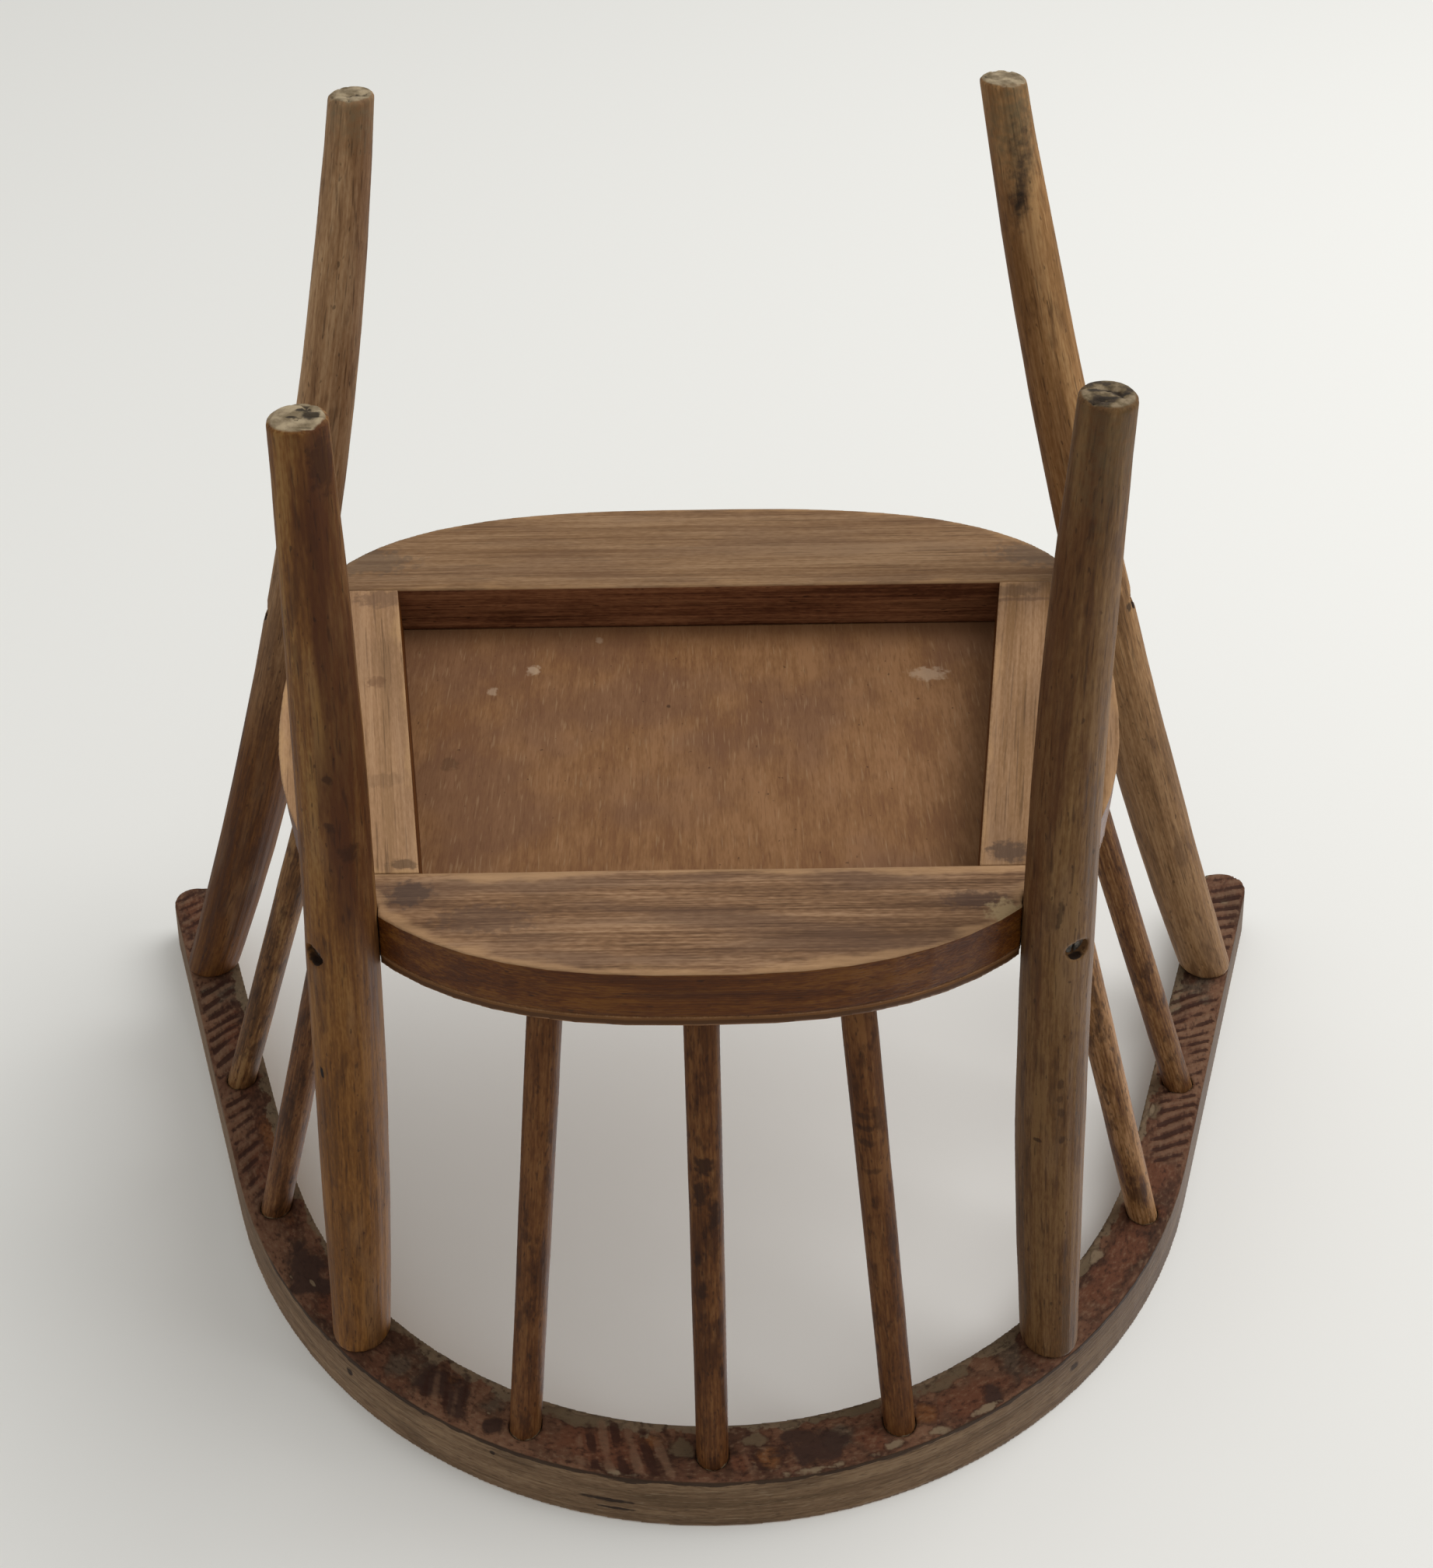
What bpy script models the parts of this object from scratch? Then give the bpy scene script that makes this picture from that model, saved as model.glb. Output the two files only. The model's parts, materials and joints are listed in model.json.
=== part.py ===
"""Child's armchair: a round arm bow on four bent turned posts and seven spindles,
with a plywood seat on a frame of four rails. Metres, +Z up, the front faces -Y, feet on Z = 0."""
import math

import bmesh
import bpy
from mathutils import Matrix, Vector

# Driving dimensions

CLEARANCE = 0.0003            # gap kept between pieces that touch

CHAIR_HEIGHT = 0.435          # floor to the top of the arm bow
CHAIR_DEPTH = 0.319           # back of the arm bow to the front edge of the seat
SEAT_HEIGHT = 0.2165          # floor to the top of the plywood

BOW_RADIUS = 0.2037           # centre line of the round back, on the underside
BOW_WIDTH = 0.0223
BOW_THICKNESS = 0.027
BOW_LEAN = 0.0033             # the bow's sides lean out by this much from underside to top
ARM_FLARE = math.radians(20.95)
ARM_SETBACK = 0.0025          # arm tips end this far behind the seat's front edge
ARM_CORNER = 0.009            # radius of the arm tips' corners
BOW_TOP_ROUND = 0.003
BOW_UNDER_CHAMFER = 0.0008
BOW_PITCH = 0.0735            # spacing of posts and side spindles along the bow
FRONT_PITCH = 0.0760          # last spindle to the front post
SIDE_DRIFT = -0.0050          # posts and side spindles meet the bow this far round it, to the right
BACK_PITCH = 0.0717           # spacing of the three back spindles
BACK_DRIFT = -0.0009          # the back spindles meet the bow this far round it

SEAT_HALF_WIDTH = 0.154
SEAT_SHIFT = -0.0020          # the seat sits this far to one side of the bow's middle
SEAT_WIDEST = -0.464          # shares of half the chair's depth, towards the back
SEAT_REAR = 0.6458
FRONT_JOINT = -0.6539         # straight inner edge of the front rail
REAR_JOINT = 0.3542           # straight inner edge of the rear rail
OPENING_FRONT = 0.7727        # half width of the frame's opening, as shares of the seat's
OPENING_REAR = 0.5974
SEAT_REAR_POWER = 2.6         # roundness of the outline behind its widest line
SEAT_FRONT_POWER = 2.8
RAIL_THICKNESS = 0.020
PLY_THICKNESS = 0.004
SEAT_EDGE_ROUND = 0.0012

# places on the left-hand half: share of the seat's half width, share of half the chair's depth
POST_FOOT_FRONT = (0.6948, -0.7210)
POST_SEAT_FRONT = (1.0455, -0.6708)
POST_FOOT_REAR = (0.6364, 0.5893)
POST_SEAT_REAR = (0.7532, 0.4702)
FEET_TURN = math.radians(-1.7)   # the four feet have wound round by this much, seen from above
REAR_FEET_SHIFT = 0.0017      # the rear feet stand this much further to the left
POST_OVERRUN = 0.012          # length a post is drawn past its ends before they are cut level
POST_DIAMETER = 0.025
# turned shape of a post: share of the chair's height, share of the diameter
POST_TURNING = ((0.0, 0.584), (0.115, 0.716), (0.23, 0.812), (0.47, 0.944),
                (0.655, 1.0), (0.805, 0.972), (0.933, 0.896))
FOOT_CHAMFER = 0.0012
SHOULDER_ROUND = 0.0016
TENON_DIAMETER = 0.011
TENON_LENGTH = 0.010
TENON_ROOT = 0.008            # part of the tenon that lies inside the post

SPINDLE_DIAMETER = 0.012
SPINDLE_IN_SEAT = 0.013       # depth of the socket from the seat's top
SPINDLE_IN_BOW = 0.010
SPINDLE_END_CHAMFER = 0.0008
# where each spindle meets the top of the seat, in the shares that place the posts
SPINDLE_SEAT_BACK_CENTRE = (0.0, 0.5705)
SPINDLE_SEAT_BACK = (0.3266, 0.5455)
SPINDLE_SEAT_SIDE_REAR = (0.8084, 0.1505)
SPINDLE_SEAT_SIDE_FRONT = (0.9058, -0.2414)

SCREW_LENGTH = 0.0286
SCREW_SHANK = 0.0035
SCREW_HEAD = 0.0070
SCREW_HEAD_HEIGHT = 0.0022
SCREW_TIP = 0.0060
SLOT_WIDTH = 0.0011
SLOT_DEPTH = 0.0009
COUNTERBORE = 0.0085
COUNTERBORE_FLOOR = 0.0088    # from the post's axis out to the screw's head
# directions of the screws seen from above, measured from +X
SCREW_TURN_FRONT = math.radians(5.0)
SCREW_TURN_REAR_LEFT = math.radians(65.0)
SCREW_TURN_REAR_RIGHT = math.radians(45.0)

DOWEL_DIAMETER = 0.006
DOWEL_LENGTH = 0.026
DOWEL_FRONT = 0.8149          # shares of the seat's half width
DOWEL_REAR = 0.6396

PIN_DIAMETER = 0.0014
PIN_HEAD = 0.0030
PIN_HEAD_HEIGHT = 0.0008
PIN_LENGTH = 0.0110
# panel pins on the left-hand half of the seat, in the shares that place the posts
PIN_PLACES = ((0.6818, -0.7962), (0.2273, -0.8339), (0.8442, -0.4890),
              (0.7662, -0.0502), (0.5325, 0.4451), (0.1688, 0.4765))

ROUND_SIDES = 20              # sides of posts, spindles and their sockets
SMALL_SIDES = 12              # sides of screws, dowels and pins
POST_RINGS = 15
BOW_STEPS = 40
OUTLINE_STEP = math.radians(5.0)
CORNER_STEPS = 6
ROUND_STEPS = 2               # flats that make up a rounded rim
SMOOTH_ANGLE = math.radians(35.0)
RIM_ANGLE = math.radians(40.0)
WELD_DISTANCE = 0.00002
CUT_OVERRUN = 0.010           # cutters reach this far past the face they open

# Sizes that follow from those above

HALF_DEPTH = CHAIR_DEPTH / 2
BOW_UNDERSIDE = CHAIR_HEIGHT - BOW_THICKNESS
BOW_CENTRE_Y = HALF_DEPTH - BOW_LEAN - BOW_WIDTH / 2 - BOW_RADIUS
ARM_TIP_Y = ARM_SETBACK - HALF_DEPTH
SEAT_FRONT_Y = -HALF_DEPTH
SEAT_WIDEST_Y = SEAT_WIDEST * HALF_DEPTH
SEAT_REAR_Y = SEAT_REAR * HALF_DEPTH
FRONT_JOINT_Y = FRONT_JOINT * HALF_DEPTH
REAR_JOINT_Y = REAR_JOINT * HALF_DEPTH
BOW_SWEEP = math.pi / 2 - ARM_FLARE
RAIL_TOP = SEAT_HEIGHT - PLY_THICKNESS
RAIL_BOTTOM = RAIL_TOP - RAIL_THICKNESS
SCREW_HEIGHT = RAIL_BOTTOM + RAIL_THICKNESS / 2
SIDES = (("left", 1.0), ("right", -1.0))     # the sitter's left is +X


# Scene and small helpers

def clear_scene():
    for item in list(bpy.data.objects):
        bpy.data.objects.remove(item, do_unlink=True)


def new_collection(name):
    group = bpy.data.collections.new(name)
    bpy.context.scene.collection.children.link(group)
    return group


def new_material(name, colour, roughness, metallic):
    """A plain Principled material; colour is linear red, green, blue."""
    material = bpy.data.materials.new(name)
    material.use_nodes = True
    shader = material.node_tree.nodes["Principled BSDF"]
    shader.inputs["Base Color"].default_value = (*colour, 1.0)
    shader.inputs["Roughness"].default_value = roughness
    shader.inputs["Metallic"].default_value = metallic
    return material


def finish_mesh(bm, name, group):
    """Turns an edit mesh into a named object with smooth round sides."""
    bmesh.ops.recalc_face_normals(bm, faces=bm.faces)
    mesh = bpy.data.meshes.new(name)
    bm.to_mesh(mesh)
    bm.free()
    mesh.shade_smooth()
    mesh.set_sharp_from_angle(angle=SMOOTH_ANGLE)
    item = bpy.data.objects.new(name, mesh)
    group.objects.link(item)
    return item


def add_part(bm, name, material):
    item = finish_mesh(bm, name, PARTS)
    item.data.materials.append(material)
    return item


def add_cutter(bm, name):
    item = finish_mesh(bm, name, CUTTERS)
    item.hide_render = True
    item.display_type = "WIRE"
    return item


def cut(cutter, *targets):
    for target in targets:
        boolean(target, cutter, "DIFFERENCE")


def mesh_of_curve(curve):
    """The evaluated curve as an edit mesh with its end caps welded on."""
    holder = bpy.data.objects.new("curve_holder", curve)
    bpy.context.scene.collection.objects.link(holder)
    graph = bpy.context.evaluated_depsgraph_get()
    mesh = bpy.data.meshes.new_from_object(holder.evaluated_get(graph))
    bm = bmesh.new()
    bm.from_mesh(mesh)
    bmesh.ops.remove_doubles(bm, verts=bm.verts, dist=WELD_DISTANCE)
    bpy.data.objects.remove(holder, do_unlink=True)
    bpy.data.meshes.remove(mesh)
    bpy.data.curves.remove(curve)
    return bm


def flat_solid(points, bottom, thickness):
    """An edit mesh of a flat outline, thickened upwards from the given height."""
    curve = bpy.data.curves.new("outline", "CURVE")
    curve.dimensions = "2D"
    curve.fill_mode = "BOTH"
    curve.extrude = thickness / 2
    spline = curve.splines.new("POLY")
    spline.points.add(len(points) - 1)
    for target, place in zip(spline.points, points):
        target.co = (place[0], place[1], 0.0, 1.0)
    spline.use_cyclic_u = True
    bm = mesh_of_curve(curve)
    bmesh.ops.translate(bm, verts=bm.verts, vec=(0.0, 0.0, bottom + thickness / 2))
    return bm


def edges_at_height(bm, height):
    return [edge for edge in bm.edges
            if len(edge.link_faces) == 2 and edge.calc_face_angle(0.0) > RIM_ANGLE
            and all(abs(vert.co.z - height) < WELD_DISTANCE for vert in edge.verts)]


def soften(bm, height, width, segments):
    """Rounds or chamfers the rim that lies at one height."""
    bmesh.ops.bevel(bm, geom=edges_at_height(bm, height), offset=width, offset_type="OFFSET",
                    segments=segments, profile=0.5, affect="EDGES", clamp_overlap=True)


def turned(profile, start, direction, sides):
    """An edit mesh turned about an axis; the profile is (distance along it, radius)."""
    bm = bmesh.new()
    verts = [bm.verts.new((radius, 0.0, along)) for along, radius in profile]
    edges = [bm.edges.new(pair) for pair in zip(verts, verts[1:])]
    bmesh.ops.spin(bm, geom=verts + edges, axis=(0, 0, 1), cent=(0, 0, 0), steps=sides,
                   angle=2 * math.pi, use_merge=True)
    bmesh.ops.remove_doubles(bm, verts=bm.verts, dist=WELD_DISTANCE)
    turn = direction.to_track_quat("Z", "Y").to_matrix().to_4x4()
    bmesh.ops.transform(bm, matrix=Matrix.Translation(start) @ turn, verts=bm.verts)
    return bm


def rod_profile(length, radius, chamfer):
    return ((0.0, 0.0), (0.0, radius - chamfer), (chamfer, radius),
            (length - chamfer, radius), (length, radius - chamfer), (length, 0.0))


def boolean(target, tool, operation):
    step = target.modifiers.new(operation.lower(), "BOOLEAN")
    step.operation = operation
    step.solver = "EXACT"
    step.object = tool


def on_side(place, side):
    """Where a place of the seat's left-hand half lies on either side of the seat's middle."""
    return (SEAT_SHIFT + place[0] * SEAT_HALF_WIDTH * side, place[1] * HALF_DEPTH)


def foot_place(place, side, shift):
    """A foot's place, turned about the middle of the chair with the other feet and then shifted sideways."""
    foot = Vector(on_side(place, side))
    foot.rotate(Matrix.Rotation(FEET_TURN, 2))
    foot.x += shift
    return foot


# Outlines

def bow_place(distance, offset=0.0):
    """A point of the bow, by distance along its centre line from the middle of the back."""
    arc = BOW_RADIUS * BOW_SWEEP
    side = math.copysign(1.0, distance)
    angle = min(abs(distance), arc) / BOW_RADIUS
    reach = BOW_RADIUS + offset
    x = reach * math.sin(angle)
    y = BOW_CENTRE_Y + reach * math.cos(angle)
    beyond = max(abs(distance) - arc, 0.0)
    return (side * (x + beyond * math.sin(ARM_FLARE)), y - beyond * math.cos(ARM_FLARE))


def bow_outward(place):
    """The direction away from the bow's middle, square to its centre line."""
    angle = min(math.atan2(abs(place.x), place.y - BOW_CENTRE_Y), BOW_SWEEP)
    return Vector((math.copysign(math.sin(angle), place.x), math.cos(angle), 0.0))


def arm_length(offset):
    """Distance along the centre line at which one edge of the arm reaches the tip's line."""
    tip_run = bow_place(BOW_RADIUS * BOW_SWEEP, offset)[1] - ARM_TIP_Y
    return BOW_RADIUS * BOW_SWEEP + tip_run / math.cos(ARM_FLARE)


def rounded_corner(before, corner, after, radius):
    """Points of an arc that rounds the corner between two straight edges."""
    back = (Vector(before) - Vector(corner)).normalized()
    ahead = (Vector(after) - Vector(corner)).normalized()
    half = back.angle(ahead) / 2
    centre = Vector(corner) + (back + ahead).normalized() * (radius / math.sin(half))
    first = Vector(corner) + back * (radius / math.tan(half)) - centre
    last = Vector(corner) + ahead * (radius / math.tan(half)) - centre
    turn = first.angle_signed(last)
    points = []
    for step in range(CORNER_STEPS + 1):
        share = turn * step / CORNER_STEPS
        cos_share, sin_share = math.cos(share), math.sin(share)
        points.append((centre.x + first.x * cos_share + first.y * sin_share,
                       centre.y - first.x * sin_share + first.y * cos_share))
    return points


def bow_outline():
    half = BOW_WIDTH / 2
    arc = BOW_RADIUS * BOW_SWEEP
    outer = [bow_place(arc * (2 * step / BOW_STEPS - 1), half) for step in range(BOW_STEPS + 1)]
    inner = [bow_place(arc * (1 - 2 * step / BOW_STEPS), -half) for step in range(BOW_STEPS + 1)]
    outer_tip = bow_place(arm_length(half), half)
    inner_tip = bow_place(arm_length(-half), -half)
    left_tip = (rounded_corner(outer[-1], outer_tip, inner_tip, ARM_CORNER)
                + rounded_corner(outer_tip, inner_tip, inner[0], ARM_CORNER))
    right_tip = [(-x, y) for x, y in reversed(left_tip)]
    return outer + left_tip + inner + right_tip


def seat_point(angle):
    """A point of the seat's outline; the angle runs from +X towards the back."""
    run, rise = math.cos(angle), math.sin(angle)
    power = SEAT_REAR_POWER if rise > 0 else SEAT_FRONT_POWER
    reach = SEAT_REAR_Y - SEAT_WIDEST_Y if rise > 0 else SEAT_WIDEST_Y - SEAT_FRONT_Y
    x = SEAT_HALF_WIDTH * math.copysign(abs(run) ** (2 / power), run)
    y = SEAT_WIDEST_Y + reach * math.copysign(abs(rise) ** (2 / power), rise)
    return (x + SEAT_SHIFT, y)


def seat_angle(y):
    """The angle at which the left-hand outline crosses a line of constant Y."""
    if y > SEAT_WIDEST_Y:
        share = (y - SEAT_WIDEST_Y) / (SEAT_REAR_Y - SEAT_WIDEST_Y)
        return math.asin(share ** (SEAT_REAR_POWER / 2))
    share = (SEAT_WIDEST_Y - y) / (SEAT_WIDEST_Y - SEAT_FRONT_Y)
    return -math.asin(share ** (SEAT_FRONT_POWER / 2))


def seat_arc(first, last):
    steps = max(2, round(abs(last - first) / OUTLINE_STEP))
    return [seat_point(first + (last - first) * step / steps) for step in range(steps + 1)]


def opening_corner(y):
    """A point of the left-hand edge of the frame's opening."""
    share = (y - FRONT_JOINT_Y) / (REAR_JOINT_Y - FRONT_JOINT_Y)
    half_width = SEAT_HALF_WIDTH * (OPENING_FRONT + (OPENING_REAR - OPENING_FRONT) * share)
    return (SEAT_SHIFT + half_width, y)


# Axes of the posts and spindles

def post_axis(foot, seat, top):
    """The bent axis of a post: X and Y follow a parabola in Z through three places."""
    stations = (0.0, SCREW_HEIGHT, BOW_UNDERSIDE)
    places = (foot, seat, top)

    def at(z):
        point = Vector((0.0, 0.0, z))
        for here, place in zip(stations, places):
            weight = 1.0
            for other in stations:
                if other != here:
                    weight *= (z - other) / (here - other)
            point.x += weight * place[0]
            point.y += weight * place[1]
        return point

    return at


def post_radius(z):
    """Radius of a post at a height; the foot's size carries on below the floor."""
    share = z / CHAIR_HEIGHT
    width = POST_TURNING[0][1]
    for low, high in zip(POST_TURNING, POST_TURNING[1:]):
        if share >= low[0]:
            width = low[1] + (high[1] - low[1]) * (share - low[0]) / (high[0] - low[0])
    return width * POST_DIAMETER / 2


def level_direction(side, turn):
    return Vector((side * math.cos(turn), math.sin(turn), 0.0))


def post_places():
    """Axis, side of the chair and outward direction of the screw of every post, by name."""
    found = {}
    front_run = 4 * BOW_PITCH + FRONT_PITCH
    for label, side in SIDES:
        front = post_axis(foot_place(POST_FOOT_FRONT, side, 0.0), on_side(POST_SEAT_FRONT, side),
                          bow_place(side * front_run + SIDE_DRIFT))
        rear = post_axis(foot_place(POST_FOOT_REAR, side, REAR_FEET_SHIFT), on_side(POST_SEAT_REAR, side),
                         bow_place(side * 2 * BOW_PITCH + SIDE_DRIFT))
        rear_turn = SCREW_TURN_REAR_LEFT if side > 0 else SCREW_TURN_REAR_RIGHT
        found["front_" + label] = (front, label, level_direction(side, SCREW_TURN_FRONT))
        found["rear_" + label] = (rear, label, level_direction(side, rear_turn))
    return found


def spindle_places():
    """Place on the seat's top and place under the bow of every spindle, by name."""
    found = {"back_centre": (on_side(SPINDLE_SEAT_BACK_CENTRE, 1.0), bow_place(BACK_DRIFT))}
    for label, side in SIDES:
        for key, seat, run, drift in (("back_" + label, SPINDLE_SEAT_BACK, BACK_PITCH, BACK_DRIFT),
                                      (label + "_rear", SPINDLE_SEAT_SIDE_REAR, 3 * BOW_PITCH, SIDE_DRIFT),
                                      (label + "_front", SPINDLE_SEAT_SIDE_FRONT, 4 * BOW_PITCH, SIDE_DRIFT)):
            found[key] = (on_side(seat, side), bow_place(side * run + drift))
    return found


# Shapes, each with a growth so that the same shape also cuts its own seat

def post_body(axis, bottom, top, grow):
    """A bent, tapered rod between two heights, with level ends."""
    curve = bpy.data.curves.new("post_axis", "CURVE")
    curve.dimensions = "3D"
    curve.bevel_depth = 1.0
    curve.bevel_resolution = (ROUND_SIDES - 4) // 2
    curve.use_fill_caps = True
    spline = curve.splines.new("POLY")
    spline.points.add(POST_RINGS - 1)
    run = top - bottom + 2 * POST_OVERRUN
    for step, target in enumerate(spline.points):
        z = bottom - POST_OVERRUN + run * step / (POST_RINGS - 1)
        target.co = (*axis(z), 1.0)
        target.radius = post_radius(z) + grow
    bm = mesh_of_curve(curve)
    for height, outward in ((bottom, -1.0), (top, 1.0)):
        end = bmesh.ops.bisect_plane(bm, geom=bm.verts[:] + bm.edges[:] + bm.faces[:],
                                     plane_co=(0, 0, height), plane_no=(0, 0, outward), clear_outer=True)
        rim = [edge for edge in end["geom_cut"] if isinstance(edge, bmesh.types.BMEdge)]
        bmesh.ops.edgeloop_fill(bm, edges=rim)
    return bm


def post_tenon(axis, grow):
    """The round end that enters the bow, with a root inside the post."""
    top = axis(BOW_UNDERSIDE)
    direction = (top - axis(BOW_UNDERSIDE - TENON_LENGTH)).normalized()
    length = TENON_ROOT + TENON_LENGTH + grow
    profile = rod_profile(length, TENON_DIAMETER / 2 + grow, SPINDLE_END_CHAMFER)
    return turned(profile, top - direction * TENON_ROOT, direction, ROUND_SIDES)


def screw_head_place(axis, outward):
    return axis(SCREW_HEIGHT) + outward * COUNTERBORE_FLOOR


def screw_solid(axis, outward):
    head, shank = SCREW_HEAD / 2, SCREW_SHANK / 2
    profile = ((0.0, 0.0), (0.0, head), (SCREW_HEAD_HEIGHT, shank), (SCREW_LENGTH - SCREW_TIP, shank),
               (SCREW_LENGTH, 0.0))
    return turned(profile, screw_head_place(axis, outward), -outward, SMALL_SIDES)


def screw_hole(axis, outward):
    """Counterbore, countersink and shank hole in one turned shape."""
    head, shank = SCREW_HEAD / 2 + CLEARANCE, SCREW_SHANK / 2 + CLEARANCE
    bore = COUNTERBORE / 2
    mouth = -COUNTERBORE_FLOOR - CUT_OVERRUN
    profile = ((mouth, 0.0), (mouth, bore), (-CLEARANCE, bore), (-CLEARANCE, head + CLEARANCE),
               (SCREW_HEAD_HEIGHT, shank), (SCREW_LENGTH - SCREW_TIP, shank),
               (SCREW_LENGTH + CLEARANCE, CLEARANCE), (SCREW_LENGTH + CLEARANCE, 0.0))
    return turned(profile, screw_head_place(axis, outward), -outward, SMALL_SIDES)


def screw_slot(axis, outward):
    """The bar that cuts the slot across a screw's head."""
    bm = bmesh.new()
    bmesh.ops.create_cube(bm, size=1.0)
    bmesh.ops.scale(bm, vec=(SLOT_WIDTH, 2 * SCREW_HEAD, 2 * SLOT_DEPTH), verts=bm.verts)
    aim = outward.to_track_quat("Z", "Y").to_matrix().to_4x4()
    place = Matrix.Translation(screw_head_place(axis, outward))
    bmesh.ops.transform(bm, matrix=place @ aim, verts=bm.verts)
    return bm


def spindle_solid(seat, top, grow):
    low = Vector((seat[0], seat[1], SEAT_HEIGHT))
    high = Vector((top[0], top[1], BOW_UNDERSIDE))
    direction = (high - low).normalized()
    length = (high - low).length + SPINDLE_IN_SEAT + SPINDLE_IN_BOW + 2 * grow
    profile = rod_profile(length, SPINDLE_DIAMETER / 2 + grow, SPINDLE_END_CHAMFER)
    return turned(profile, low - direction * (SPINDLE_IN_SEAT + grow), direction, ROUND_SIDES)


def dowel_solid(place, grow):
    radius = DOWEL_DIAMETER / 2 + grow
    length = DOWEL_LENGTH + 2 * grow
    start = Vector((place[0], place[1] - length / 2, SCREW_HEIGHT))
    return turned(rod_profile(length, radius, SPINDLE_END_CHAMFER), start, Vector((0, 1, 0)), SMALL_SIDES)


def pin_solid(place, grow):
    head, shank = PIN_HEAD / 2 + grow, PIN_DIAMETER / 2 + grow
    profile = ((-grow, 0.0), (-grow, head), (PIN_HEAD_HEIGHT + grow, head), (PIN_HEAD_HEIGHT + grow, shank),
               (PIN_LENGTH - PIN_DIAMETER, shank), (PIN_LENGTH + grow, 0.0))
    start = Vector((place[0], place[1], SEAT_HEIGHT))
    return turned(profile, start, Vector((0, 0, -1)), SMALL_SIDES)


# Collections and woods

clear_scene()
PARTS = new_collection("childs_armchair")
CUTTERS = new_collection("cutters")
bow_wood = new_material("bow_wood", (0.085, 0.048, 0.028), 0.6, 0.0)
post_wood = new_material("post_wood", (0.130, 0.072, 0.038), 0.5, 0.0)
spindle_wood = new_material("spindle_wood", (0.105, 0.055, 0.028), 0.5, 0.0)
rail_wood = new_material("rail_wood", (0.200, 0.120, 0.066), 0.6, 0.0)
plywood = new_material("plywood", (0.190, 0.105, 0.055), 0.55, 0.0)
dowel_wood = new_material("dowel_wood", (0.420, 0.300, 0.180), 0.7, 0.0)
screw_steel = new_material("screw_steel", (0.180, 0.175, 0.165), 0.45, 1.0)

# Arm bow, its sides leaning out towards the top

bm = flat_solid(bow_outline(), BOW_UNDERSIDE, BOW_THICKNESS)
for vert in bm.verts:
    vert.co += bow_outward(vert.co) * (BOW_LEAN * (vert.co.z - BOW_UNDERSIDE) / BOW_THICKNESS)
soften(bm, CHAIR_HEIGHT, BOW_TOP_ROUND, ROUND_STEPS)
soften(bm, BOW_UNDERSIDE, BOW_UNDER_CHAMFER, 1)
bow = add_part(bm, "arm_bow", bow_wood)

# Seat frame of four rails, and the plywood on it

low, high = FRONT_JOINT_Y + CLEARANCE, REAR_JOINT_Y - CLEARANCE
front_angle, rear_angle = seat_angle(FRONT_JOINT_Y), seat_angle(REAR_JOINT_Y)
left_rail = seat_arc(seat_angle(low), seat_angle(high)) + [opening_corner(high), opening_corner(low)]
rail_outlines = {
    "front": seat_arc(front_angle, -math.pi - front_angle),
    "rear": seat_arc(rear_angle, math.pi - rear_angle),
    "left": left_rail,
    "right": [(2 * SEAT_SHIFT - x, y) for x, y in left_rail],
}
rails = {}
for label, outline in rail_outlines.items():
    bm = flat_solid(outline, RAIL_BOTTOM, RAIL_THICKNESS - CLEARANCE)
    rails[label] = add_part(bm, "seat_rail_" + label, rail_wood)
bm = flat_solid(seat_arc(0.0, 2 * math.pi)[:-1], RAIL_TOP, PLY_THICKNESS)
soften(bm, SEAT_HEIGHT, SEAT_EDGE_ROUND, ROUND_STEPS)
panel = add_part(bm, "seat_panel", plywood)

# Posts, each tenoned into the bow, let into the seat's edge and screwed to it

for name, (axis, label, outward) in post_places().items():
    bm = post_body(axis, 0.0, BOW_UNDERSIDE - CLEARANCE, 0.0)
    soften(bm, 0.0, FOOT_CHAMFER, 1)
    soften(bm, BOW_UNDERSIDE - CLEARANCE, SHOULDER_ROUND, ROUND_STEPS)
    post = add_part(bm, "post_" + name, post_wood)
    boolean(post, add_cutter(post_tenon(axis, 0.0), "tenon_" + name), "UNION")
    cut(add_cutter(post_tenon(axis, CLEARANCE), "socket_" + name), bow)
    corner_rails = (rails[name.split("_")[0]], rails[label])
    bm = post_body(axis, RAIL_BOTTOM - CUT_OVERRUN, SEAT_HEIGHT + CUT_OVERRUN, CLEARANCE)
    cut(add_cutter(bm, "housing_" + name), panel, *corner_rails)
    cut(add_cutter(screw_hole(axis, outward), "screw_hole_" + name), post, *corner_rails)
    screw = add_part(screw_solid(axis, outward), "screw_" + name, screw_steel)
    cut(add_cutter(screw_slot(axis, outward), "slot_" + name), screw)

# Spindles in sockets of the seat and the bow

for name, (seat, top) in spindle_places().items():
    add_part(spindle_solid(seat, top, 0.0), "spindle_" + name, spindle_wood)
    home = rails["rear" if name.startswith("back") else name.split("_")[0]]
    cut(add_cutter(spindle_solid(seat, top, CLEARANCE), "socket_" + name), bow, panel, home)

# Dowels in the corner joints of the frame

for label, side in SIDES:
    for end, place in (("front", (DOWEL_FRONT, FRONT_JOINT)), ("rear", (DOWEL_REAR, REAR_JOINT))):
        name = end + "_" + label
        spot = on_side(place, side)
        add_part(dowel_solid(spot, 0.0), "dowel_" + name, dowel_wood)
        cut(add_cutter(dowel_solid(spot, CLEARANCE), "dowel_hole_" + name), rails[end], rails[label])

# Panel pins through the plywood into the rails

number = 0
for label, side in SIDES:
    for place in PIN_PLACES:
        number += 1
        spot = on_side(place, side)
        name = f"pin_{number:02d}"
        add_part(pin_solid(spot, 0.0), name, screw_steel)
        if place[1] < FRONT_JOINT:
            home = rails["front"]
        elif place[1] > REAR_JOINT:
            home = rails["rear"]
        else:
            home = rails[label]
        cut(add_cutter(pin_solid(spot, CLEARANCE), "hole_" + name), panel, home)
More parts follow.
